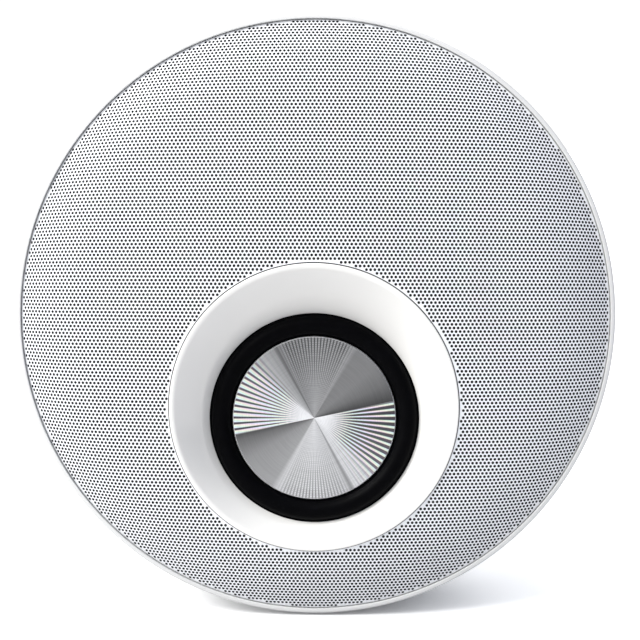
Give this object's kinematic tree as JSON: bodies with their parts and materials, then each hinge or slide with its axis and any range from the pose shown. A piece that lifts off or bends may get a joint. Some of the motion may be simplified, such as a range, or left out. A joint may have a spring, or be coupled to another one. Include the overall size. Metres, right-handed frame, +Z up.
{
  "type": "smart speaker",
  "caption": "Round disc-shaped smart speaker that leans back on a rear stand, with a domed perforated metal grille and a recessed off-centre driver with a spun aluminium disc.",
  "frame": {"origin": "bottom centre of the bounding box, on the surface that the speaker stands on", "axes": "+Z up, the grille faces -Y, +X to the right seen from the front"},
  "size_m": [0.24, 0.0985, 0.2387],
  "materials": {
    "housing_white": "satin moulded plastic",
    "grille_white": "fine powder coat",
    "trim_white": "gloss",
    "disc_aluminium": "finely spun rings",
    "rubber_black": "satin",
    "foot_rubber": "matte",
    "scrim_cloth": "open weave",
    "felt_grey": "felt",
    "spider_cloth": "resin-stiffened cloth",
    "black_plastic": "fine texture",
    "steel": "zinc plated",
    "magnet": "ground ferrite",
    "board_green": "solder mask",
    "heat_sink_black": "black anodised",
    "copper": "enamelled wire",
    "cone_paper": "pressed pulp",
    "lens_clear": "clear",
    "lead_red": "insulation",
    "key_white": "satin",
    "slider_orange": "satin"
  },
  "bodies": {
    "speaker": {"front_housing": "housing_white", "baffle": "black_plastic", "grille": "grille_white", "acoustic_scrim": "scrim_cloth", "trim_ring": "trim_white", "rear_shell": "housing_white", "shell_gasket": "rubber_black", "rear_stand": "housing_white", "front_foot_pad": "foot_rubber", "rear_foot_pads": "foot_rubber", "bass_port": "black_plastic", "woofer_basket": "black_plastic", "woofer_gasket": "rubber_black", "woofer_top_plate": "steel", "woofer_magnet": "magnet", "woofer_yoke": "steel", "woofer_terminals": "steel", "left_driver_frame": "black_plastic", "left_driver_motor": "steel", "right_driver_frame": "black_plastic", "right_driver_motor": "steel", "main_board": "board_green", "amplifier_heat_sink": "heat_sink_black", "microphone_board": "board_green", "button_board": "board_green", "status_light": "lens_clear", "socket_panel": "black_plastic", "power_inlet": "black_plastic", "audio_socket": "black_plastic", "service_socket": "steel", "damping_felt": "felt_grey", "woofer_lead": "lead_red", "left_driver_lead": "lead_red", "right_driver_lead": "lead_red", "shell_screws": "steel", "baffle_screws": "steel", "trim_screws": "steel", "woofer_screws": "steel", "side_driver_screws": "steel", "board_screws": "steel", "stand_screws": "steel", "woofer_surround": "rubber_black", "woofer_spider": "spider_cloth", "left_driver_surround": "rubber_black", "right_driver_surround": "rubber_black"},
    "woofer_diaphragm": {"woofer_disc": "disc_aluminium", "woofer_cone": "black_plastic", "woofer_former": "spider_cloth", "woofer_winding": "copper"},
    "left_diaphragm": {"left_driver_cone": "cone_paper", "left_driver_coil": "copper"},
    "right_diaphragm": {"right_driver_cone": "cone_paper", "right_driver_coil": "copper"},
    "volume_down_key": {"volume_down_button": "key_white"},
    "voice_key": {"voice_button": "key_white"},
    "power_key": {"power_button": "key_white"},
    "volume_up_key": {"volume_up_button": "key_white"},
    "mute_slide": {"mute_slider": "slider_orange"}
  },
  "joints": [
    {"name": "woofer_travel", "type": "slide", "parent": "speaker", "child": "woofer_diaphragm", "axis": [0, -0.9903, 0.1392], "range_m": [-0.003, 0.003], "stiffness_N_per_m": 1600, "deforming": ["woofer_surround", "woofer_spider"]},
    {"name": "left_driver_travel", "type": "slide", "parent": "speaker", "child": "left_diaphragm", "axis": [0, -0.9903, 0.1392], "range_m": [-0.0015, 0.0015], "stiffness_N_per_m": 2400, "deforming": ["left_driver_surround"]},
    {"name": "right_driver_travel", "type": "slide", "parent": "speaker", "child": "right_diaphragm", "axis": [0, -0.9903, 0.1392], "range_m": [-0.0015, 0.0015], "stiffness_N_per_m": 2400, "deforming": ["right_driver_surround"]},
    {"name": "volume_down_press", "type": "slide", "parent": "speaker", "child": "volume_down_key", "axis": [0.3287, -0.3012, -0.8951], "range_m": [0, 0.0008], "stiffness_N_per_m": 1500, "springref_m": -0.0004},
    {"name": "voice_press", "type": "slide", "parent": "speaker", "child": "voice_key", "axis": [0.1115, -0.3081, -0.9448], "range_m": [0, 0.0008], "stiffness_N_per_m": 1500, "springref_m": -0.0004},
    {"name": "power_press", "type": "slide", "parent": "speaker", "child": "power_key", "axis": [-0.1115, -0.3081, -0.9448], "range_m": [0, 0.0008], "stiffness_N_per_m": 1500, "springref_m": -0.0004},
    {"name": "volume_up_press", "type": "slide", "parent": "speaker", "child": "volume_up_key", "axis": [-0.3287, -0.3012, -0.8951], "range_m": [0, 0.0008], "stiffness_N_per_m": 1500, "springref_m": -0.0004},
    {"name": "mute_switch", "type": "slide", "parent": "speaker", "child": "mute_slide", "axis": [-1, 0, 0], "range_m": [0, 0.0032]}
  ]
}
